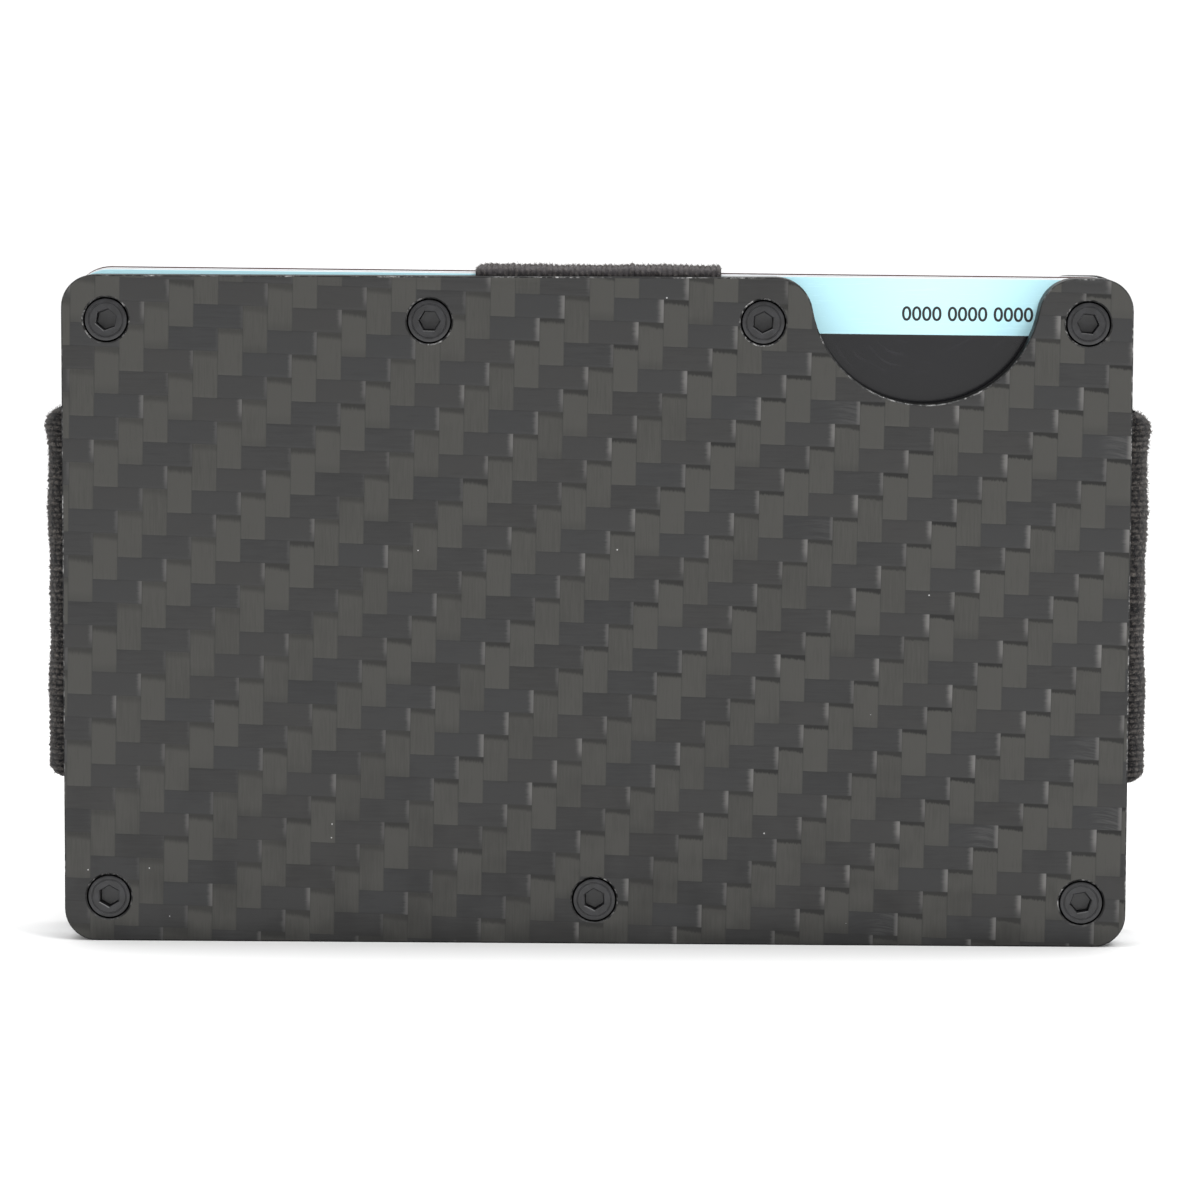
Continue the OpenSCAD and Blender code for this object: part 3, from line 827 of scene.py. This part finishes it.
def elastic_strip(name, finish, path, normal, fade, across, thick, closed, place, swell):
    """A ribbed strip with its outer and inner faces and both edges.

    path and normal are 2D, one row a station; place puts (2D point, place across) into the frame.
    """
    step = np.linalg.norm(np.diff(path, axis=0), axis=1)
    along = np.concatenate([[0], np.cumsum(step)])
    relief = rib_relief(across, along, fade)
    edge = np.minimum(across, across[-1] - across)
    round_off = np.clip(1 - edge / (0.35 * MM), 0, 1) ** 2
    outer_off = thick / 2 - 0.9 * RIB_OUT + relief - round_off[None, :] * 0.6 * thick
    inner_off = -thick / 2 + 0.25 * relief + round_off[None, :] * 0.25 * thick
    stations, columns = len(path), len(across)
    points = []
    for offset in (outer_off, inner_off):
        flat = path[:, None, :] + normal[:, None, :] * offset[:, :, None]
        flat = swell(flat, across)
        points.append(place(flat, across).reshape(-1, 3))
    total = stations * columns
    faces = strip_faces(stations, columns, 0, closed)
    faces += [f[::-1] for f in strip_faces(stations, columns, total, closed)]
    for c in (0, columns - 1):
        for r in range(stations if closed else stations - 1):
            following = (r + 1) % stations
            a, b = r * columns + c, following * columns + c
            faces.append((a, b, total + b, total + a) if c == 0 else (b, a, total + a, total + b))
    if not closed:
        for r in (0, stations - 1):
            for c in range(columns - 1):
                a, b = r * columns + c, r * columns + c + 1
                faces.append((b, a, total + a, total + b) if r == 0 else (a, b, total + b, total + a))
    obj = mesh_object(name, np.concatenate(points), [tuple(int(i) for i in f) for f in faces])
    recalculate(obj.data)
    smooth(obj.data, 80)
    crest = obj.data.attributes.new("rib", "FLOAT", "POINT")
    share = (relief / RIB_OUT).ravel()
    crest.data.foreach_set("value", np.concatenate([share, share]).astype(np.float32))
    paint(obj, finish)
    return obj


def band(finish):
    """The wide band, one endless loop through both sides and round both short sides."""
    low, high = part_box("band_right_bend")
    front_low, front_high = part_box("band_front_run")
    thick = front_high[1] - front_low[1]
    half = (high[1] - low[1]) / 2 - thick / 2
    out = high[0] - HALF_W - thick / 2 - 0.06 * MM
    width = high[2] - low[2]
    bend, bend_normal = half_superellipse(out, half, 2.5, 46)
    tuck = 3.2 * MM
    steps = 8
    # Lead in from the hidden run, then the bend, then lead out, for the right side
    lead = np.stack([np.linspace(-tuck, 0, steps + 1)[:-1], np.full(steps, -half)], -1)
    lead_normal = np.tile([0.0, -1.0], (steps, 1))
    right = np.concatenate([lead, bend, lead[::-1] * [1, -1]])
    right_normal = np.concatenate([lead_normal, bend_normal, lead_normal * [1, -1]])
    right[:, 0] += HALF_W
    left, left_normal = -right, -right_normal
    path = np.concatenate([right, left])
    normal = np.concatenate([right_normal, left_normal])
    fade = np.clip((np.abs(path[:, 0]) - (HALF_W - 1.0 * MM)) / (1.2 * MM), 0, 1)
    across = np.linspace(0, width, int(width / RIB) * 5 + 1)

    def swell(flat, across):
        beyond = np.maximum(np.abs(flat[..., 0]) - HALF_W, 0)
        below_top = width - across
        curl = 0.17 * np.exp(-((below_top - 1.5 * MM) / (0.9 * MM)) ** 2)
        corner = -0.55 * np.clip(1 - below_top / (0.9 * MM), 0, 1) ** 1.5
        heel = -0.35 * np.clip(1 - across / (0.8 * MM), 0, 1) ** 1.5
        waves = 0.05 * np.sin(across / (2.9 * MM)) + 0.03 * np.sin(across / (1.1 * MM) + 1)
        share = 1 + curl + corner + heel + waves
        flat[..., 0] = np.sign(flat[..., 0]) * (np.minimum(np.abs(flat[..., 0]), HALF_W) + beyond * share)
        return flat

    def place(flat, across):
        z = np.broadcast_to(low[2] + across, flat.shape[:2])
        return np.stack([flat[..., 0], MID_Y + flat[..., 1], z], -1)

    name = "wide_elastic_band"
    return elastic_strip(name, finish, path, normal, fade, across, thick, True, place, swell), half


def strap(finish):
    """The narrower strap, up out of the front side, over the cards and down into the back."""
    low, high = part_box("strap_top_bend")
    run_low, run_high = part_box("strap_front_run")
    full = 0.5 * MM
    thick = 0.36 * MM
    half = (high[1] - low[1]) / 2 - full / 2
    out = high[2] - PLATE_H - full + thick / 2 + 0.03 * MM
    width = high[0] - low[0] - 0.25 * MM
    bend, bend_normal = half_superellipse(out, half, 6, 64)
    steps = 5
    jog_top = run_high[2] - PLATE_H - 8.3 * MM
    sewn_end = run_low[2] - PLATE_H
    inward = 0.54 * MM
    lead = np.array(
        [[sewn_end, -half + inward], [jog_top - 2.2 * MM, -half + inward], [jog_top, -half]]
        + [[h, -half] for h in np.linspace(-2.5 * MM, 0, steps + 1)[:-1]])
    lead_normal = np.tile([0.0, -1.0], (len(lead), 1))
    path = np.concatenate([lead, bend, lead[::-1] * [1, -1]])
    normal = np.concatenate([lead_normal, bend_normal, lead_normal[::-1] * [1, -1]])
    fade = np.clip((path[:, 0] + 0.3 * MM) / (0.35 * MM), 0, 1)
    across = np.linspace(0, width, int(width / RIB) * 7 + 1)

    def swell(flat, across):
        above = np.maximum(flat[..., 0], 0)
        near_end = np.minimum(across, width - across)
        share = 1 - 0.03 * np.clip(1 - across / (1.4 * MM), 0, 1) + 0.04 * np.sin(across / (1.7 * MM))
        share = share - 0.04 * np.clip(1 - near_end / (0.3 * MM), 0, 1)
        share = share + 0.05 * np.sin(across / (0.47 * MM)) * np.sin(across / (2.3 * MM) + 2)
        flat[..., 0] = np.where(flat[..., 0] > 0, above * share, flat[..., 0])
        return flat

    def place(flat, across):
        x = np.broadcast_to(high[0] - width + across, flat.shape[:2])
        return np.stack([x, MID_Y + flat[..., 1], PLATE_H + flat[..., 0]], -1)

    name = "closed_edge_elastic_strap"
    return elastic_strip(name, finish, path, normal, fade, across, thick, False, place, swell)


def fibre_scatter():
    """Short bent fibres standing on a surface."""
    scatter = Scatter("fuzz", Density="Float", Length="Float", Radius="Float", Seed="Int")
    entry, make = scatter.entry, scatter.make
    spread = {"Mesh": entry["Base"], "Density": entry["Density"], "Seed": entry["Seed"]}
    points = make("GeometryNodeDistributePointsOnFaces", spread)
    bend = {"Resolution": 3, "Start": (0, 0, 0), "Middle": (0.1, 0.05, 0.6), "End": (0.55, -0.1, 0.8)}
    hair = make("GeometryNodeCurveQuadraticBezier", bend)
    slim = make("ShaderNodeMath", {0: entry["Radius"], 1: entry["Length"]}, operation="DIVIDE")
    ring = make("GeometryNodeCurvePrimitiveCircle", {"Resolution": 3, "Radius": slim[0]})
    tube = make("GeometryNodeCurveToMesh", {"Curve": hair[0], "Profile Curve": ring[0], "Fill Caps": True})
    lean = {0: (-0.7, -0.7, 0), 1: (0.7, 0.7, 6.28), "Seed": entry["Seed"]}
    spin = make("FunctionNodeRandomValue", lean, data_type="FLOAT_VECTOR")
    turn = make("FunctionNodeRotateRotation", {0: points["Rotation"], 1: spin[0]}, rotation_space="LOCAL")
    size = make("FunctionNodeRandomValue", {2: 0.4, 3: 1.2, "Seed": entry["Seed"]})
    grown = make("ShaderNodeMath", {0: size[1], 1: entry["Length"]}, operation="MULTIPLY")
    scatter.plant(Points=points["Points"], Instance=tube[0], Rotation=turn[0], Scale=grown[0])
    return scatter


def fuzz(name, source, keep, scatter, length, finish, seed):
    """Loose filaments on the part of an elastic piece that shows."""
    bed = source.copy()
    bed.data = source.data.copy()
    bed.name = name
    bpy.context.scene.collection.objects.link(bed)
    with editing(bed.data) as bm:
        hidden = [f for f in bm.faces if not keep(f.calc_center_median(), f.normal)]
        bmesh.ops.delete(bm, geom=hidden, context="FACES")
    return scatter.grow(bed, Density=HAIRS, Length=length, Radius=HAIR_R, Seed=seed, Finish=finish)


def elastic(yarn, hairs):
    wide, half = band(yarn)
    top = strap(yarn)
    scatter = fibre_scatter()

    def beyond_side(centre, normal):
        return abs(centre.x) > HALF_W + 0.15 * MM and normal.x * centre.x > 0

    def above_top(centre, normal):
        return centre.z > PLATE_H + 0.1 * MM and (normal.z > 0.1 or abs(normal.y) > 0.5)

    wide_fuzz = fuzz("wide_band_fuzz", wide, beyond_side, scatter, 0.24 * MM, hairs, 3)
    top_fuzz = fuzz("strap_fuzz", top, above_top, scatter, 0.17 * MM, hairs, 5)
    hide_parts("band_front_run", "band_back_run", "band_left_bend", "band_right_bend")
    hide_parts("strap_front_run", "strap_back_run", "strap_top_bend")
    for piece in (wide, top, wide_fuzz, top_fuzz):
        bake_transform(piece)


# ---- Money clip ----

def money_clip(finish):
    """One strip of spring steel: a flat foot, a joggle, a long blade and a flared round tip."""
    foot_low, foot_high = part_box("clip_foot")
    blade_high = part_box("clip_blade")[1]
    thick = foot_high[1] - foot_low[1]
    start, root, tip = foot_low[0], foot_high[0], blade_high[0]
    half = (foot_high[2] - foot_low[2]) / 2
    rise = 1.4 * MM
    flare = blade_high[1] - BACK_Y - thick
    gap = 0.15 * MM
    touch = tip - 8 * MM
    tip_r = 5 * MM
    knots_x = np.array([start, root + 0.6 * MM, root + 3 * MM, touch, tip])
    knots_y = np.array([0, 0, rise, gap, flare])
    x = np.concatenate([
        np.linspace(start, root, 8)[:-1], np.linspace(root, root + 4.5 * MM, 22)[:-1],
        np.linspace(root + 4.5 * MM, touch - 3 * MM, 14)[:-1],
        np.linspace(touch - 3 * MM, tip - tip_r, 14)[:-1],
        tip - tip_r + tip_r * np.sin(np.linspace(0, math.pi / 2, 12))
    ])
    # Each bend is rounded by averaging the straight run over a short window
    window = np.linspace(-1, 1, 15)[:, None]
    spread = np.where(np.abs(x - touch) < 5 * MM, 1.6 * MM, 0.7 * MM)
    y = np.interp(x[None, :] + window * spread[None, :], knots_x, knots_y).mean(0)
    y = np.where(x <= root, 0, y)
    y[-1] = flare
    over = np.maximum(x - (tip - tip_r), 0)
    w = half - tip_r + np.sqrt(np.maximum(tip_r ** 2 - over ** 2, 0))
    tangent = np.gradient(y, x)
    cosine = 1 / np.sqrt(1 + tangent ** 2)
    side_steps = 10
    top_x, top_y = x - tangent * cosine * thick, y + cosine * thick
    rings = []
    for k in range(len(x)):
        across = np.linspace(-w[k], w[k], side_steps)
        top = [(top_x[k], BACK_Y + top_y[k], MID_Z + c) for c in across]
        bottom = [(x[k], BACK_Y + y[k], MID_Z + c) for c in across[::-1]]
        rings.append(np.array(top + bottom))
    clip = loft("money_clip", rings)
    bevel_sharp(clip, 0.12 * MM, 3, 50)
    smooth(clip.data, 30)
    paint(clip, finish)
    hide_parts("clip_foot", "clip_blade")
    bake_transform(clip)


# ---- Cards ----

CARD_TILT = math.radians(0.4)
CARD_R = 3.18 * MM
CARD_W = 85.6 * MM
CARD_H = 53.98 * MM
# Cards are cut a little short, each by its own amount
CARD_SHORT = {
    "card_1": 0.18 * MM, "card_2": 0.10 * MM, "card_3": 0.02 * MM, "card_4": 0.10 * MM, "card_5": 0.15 * MM
}


def card_frame(node):
    """Where a card lies, with its tilt, and its thickness and height."""
    low, high = (Vector(corner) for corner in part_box(node))
    short = CARD_SHORT[node]
    centre = (low + high) / 2 - Vector((0, 0, short / 2))
    return Matrix.Translation(centre) @ Matrix.Rotation(CARD_TILT, 4, "Y"), high.y - low.y, CARD_H - short


def round_outline(width, height, radius, steps):
    """A rectangle with round corners, centred on 0, as [x, z] points."""
    points = []
    for k, (cx, cz) in enumerate(((1, 1), (-1, 1), (-1, -1), (1, -1))):
        for a in np.linspace(0, math.pi / 2, steps):
            angle = a + k * math.pi / 2
            points.append((cx * (width / 2 - radius) + radius * math.cos(angle),
                           cz * (height / 2 - radius) + radius * math.sin(angle)))
    return points


def card(node, front_ink, back_ink, core):
    """A laminated card: printed faces over a white core, with a softened edge."""
    place, thick, high = card_frame(node)
    soft = 0.05 * MM
    rings = []
    for inset, y in ((soft, -thick / 2), (0.3 * soft, -thick / 2 + 0.3 * soft), (0, -thick / 2 + soft),
                     (0, thick / 2 - soft), (0.3 * soft, thick / 2 - 0.3 * soft), (soft, thick / 2)):
        outline = round_outline(CARD_W - 2 * inset, high - 2 * inset, CARD_R - inset, 14)
        rings.append(np.array([(px, y, pz) for px, pz in outline]))
    made = loft(node + "_laminate", rings)
    paint(made, front_ink, back_ink, core)
    for polygon in made.data.polygons:
        facing = polygon.normal.y
        polygon.material_index = 0 if facing < -0.9 else 1 if facing > 0.9 else 2
    made.data.transform(place)
    smooth(made.data, 30)
    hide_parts(node)
    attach(made, node)
    return made


def flat_patch(name, node, outline, lift, side, finish):
    """A thin layer on a card's face, drawn in the card's own x and z with z down from its top edge."""
    place, thick, high = card_frame(node)
    y = -side * (thick / 2)
    points = [(px, y, high / 2 - pz) for px, pz in outline]
    points += [(px, y - side * lift, high / 2 - pz) for px, pz in outline]
    n = len(outline)
    faces = [tuple(range(n)), tuple(range(2 * n - 1, n - 1, -1))]
    faces += [(k, (k + 1) % n, n + (k + 1) % n, n + k) for k in range(n)]
    patch = mesh_object(name, points, faces)
    recalculate(patch.data)
    patch.data.transform(place)
    paint(patch, finish)
    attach(patch, node)


def card_number(node, finish):
    """A row of noughts where a card's number is printed."""
    place, thick, high = card_frame(node)
    curve = bpy.data.curves.new("card_number", "FONT")
    curve.body = "0000 0000 0000"
    curve.size = 1.62 * MM
    curve.extrude = 0.004 * MM
    curve.offset = 0.02 * MM
    curve.align_x = "LEFT"
    text = new_object("card_number_text", curve)
    graph = bpy.context.evaluated_depsgraph_get()
    mesh = bpy.data.meshes.new_from_object(text.evaluated_get(graph), depsgraph=graph)
    bpy.data.objects.remove(text)
    piece = new_object("card_number", mesh)
    upright = Matrix.Rotation(math.radians(90), 4, "X")
    put = Matrix.Translation(Vector((24.4 * MM, -thick / 2, high / 2 - 3.4 * MM)))
    mesh.transform(place @ put @ upright)
    paint(piece, finish)
    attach(piece, node)


def chip(node, side, finish):
    """Contact chip: a rounded gold pad, cut into fields by thin grooves."""
    across, down = -27 * MM * side, card_frame(node)[2] / 2 - 4 * MM
    wide, high, groove = 3.6 * MM, 2.7 * MM, 0.2 * MM
    for row in range(3):
        for column in range(3):
            cx = across + (column - 1) * (wide + groove)
            cz = down + (row - 1) * (high + groove)
            outline = [(cx + px, cz + pz) for px, pz in round_outline(wide, high, 0.4 * MM, 4)]
            flat_patch(f"{node}_chip_{row}{column}", node, outline, 0.008 * MM, side, finish)


def all_cards():
    core = card_core()
    blue = card_print("card_pale_blue_print", (0.60, 0.93, 1.0, 1), (0.50, 0.86, 0.97, 1))
    white = card_print("card_white_print", (0.74, 0.75, 0.75, 1), (0.64, 0.66, 0.68, 1))
    red = card_print("card_dark_red_print", (0.075, 0.016, 0.014, 1), (0.05, 0.01, 0.01, 1))
    navy = card_print("card_navy_print", (0.02, 0.04, 0.14, 1), (0.012, 0.02, 0.07, 1))
    silver = card_print("card_silver_print", (0.35, 0.36, 0.38, 1), (0.25, 0.26, 0.28, 1))
    stripe = stripe_black()
    gold = mottled(
        "chip_contact_gold", 1.5, (0.78, 0.6, 0.28, 1), (0.9, 0.75, 0.42, 1), (0.22, 0.38), Metallic=1.0)
    faces = {
        "card_1": (blue, silver, "card_pale_blue"), "card_2": (white, silver, "card_white"),
        "card_3": (red, red, "card_dark_red"), "card_4": (white, white, "card_white"),
        "card_5": (navy, white, "card_navy")
    }
    for node, (front, back, slot) in faces.items():
        made = card(node, front, back, core)
    end, top, bottom = CARD_W / 2 - 0.02 * MM, 4.55 * MM, 17.3 * MM
    stripe_edge = [(-end, top), (end, top), (end, bottom), (-end, bottom)]
    for node, side in (("card_1", 1), ("card_2", 1), ("card_4", -1), ("card_5", -1)):
        flat_patch(node + "_stripe", node, stripe_edge, 0.012 * MM, side, stripe)
    for node, side in (("card_3", 1), ("card_5", 1)):
        chip(node, side, gold)
    panel = card_print("signature_panel_print", (0.8, 0.8, 0.78, 1), (0.7, 0.7, 0.68, 1))
    outline = [(px - 8 * MM, pz + 26 * MM) for px, pz in round_outline(56 * MM, 8 * MM, 0.6 * MM, 5)]
    flat_patch("card_1_signature_panel", "card_1", outline, 0.01 * MM, 1, panel)
    card_number("card_1", mottled("number_ink", 3.0, grey(0.004), grey(0.02), 0.5))


# ---- Studio ----

def studio():
    reach = 3.0
    corners = [(-reach, -reach, 0), (reach, -reach, 0), (reach, reach, 0), (-reach, reach, 0)]
    floor = mesh_object("floor", corners, [(0, 1, 2, 3)])
    paint(floor, floor_white())
    world = bpy.data.worlds.new("white_tent")
    bpy.context.scene.world = world
    world.use_nodes = True
    tree = world.node_tree
    sky = tree.nodes["Background"]
    sky.inputs["Color"].default_value = (1, 1, 1, 1)
    # The tent is dimmer in front, where the wallet is looked at from
    way = add_node(tree, "ShaderNodeTexCoord").outputs["Generated"]
    facing = add_node(tree, "ShaderNodeVectorMath", {0: way, 1: (0, -1, 0)}, operation="DOT_PRODUCT")
    share = facing.outputs["Value"]
    ends = {"Value": share, "From Min": 0.2, "From Max": 0.95, "To Min": 1.18, "To Max": 0.46}
    dim = add_node(tree, "ShaderNodeMapRange", ends)
    tree.links.new(dim.outputs["Result"], sky.inputs["Strength"])
    lamps = {
        # name: place, aim, size, power
        "top_softbox": ((0.0, -0.05, 0.62), (0, 0, 0.03), (0.7, 0.4), 1.5),
        "key": ((0.26, -0.26, 0.42), (0, 0, 0.03), (0.12, 0.12), 0.85),
    }
    for name, (place, aim, size, power) in lamps.items():
        data = bpy.data.lights.new(name, "AREA")
        data.shape = "RECTANGLE"
        data.size, data.size_y = size
        data.energy = power
        lamp = new_object(name, data)
        lamp.location = place
        lamp.rotation_euler = (Vector(aim) - Vector(place)).to_track_quat("-Z", "Y").to_euler()
    bpy.context.scene.view_settings.view_transform = "Standard"


def camera():
    """Near-frontal view from a little above, with the wallet standing."""
    data = bpy.data.cameras.new("camera")
    data.sensor_width = 36.0
    data.lens = 149.0
    data.clip_start = 0.01
    eye = new_object("camera", data)
    yaw, pitch, roll = (math.radians(a) for a in (1.11, -5.52, 0.21))
    turn = Euler((math.pi / 2 + pitch, 0, yaw)).to_matrix() @ Matrix.Rotation(roll, 3, "Z")
    place = Vector((8.1 * MM, FRONT_Y - 398.2 * MM, 66.5 * MM))
    eye.matrix_world = Matrix.Translation(place) @ turn.to_4x4()
    bpy.context.scene.camera = eye


camera()
studio()
cut_and_lip = carbon_cut(), carbon_lip()
carbon_plate("front_carbon_plate", "front_outer_plate", 1, carbon_twill(1), *cut_and_lip)
carbon_plate("back_carbon_plate", "back_outer_plate", -1, carbon_twill(-1), *cut_and_lip)
black = anodised()
inner_plate("front_lining_plate", "front_inner_plate", "front_side", black)
inner_plate("back_lining_plate", "back_inner_plate", "back_side", black)
all_screws(screw_black())
brass = insert_brass()
for material_slot in frame["nodes"]["clip_inserts"].material_slots:
    material_slot.material = brass
hair_ends = (0.03, 0.027, 0.026, 1), (0.16, 0.13, 0.11, 1)
elastic(elastic_yarn(), mottled("stray_filament", 1.2, *hair_ends, 0.8, 1.0, Specular_IOR_Level=0.3))
money_clip(clip_black())
all_cards()
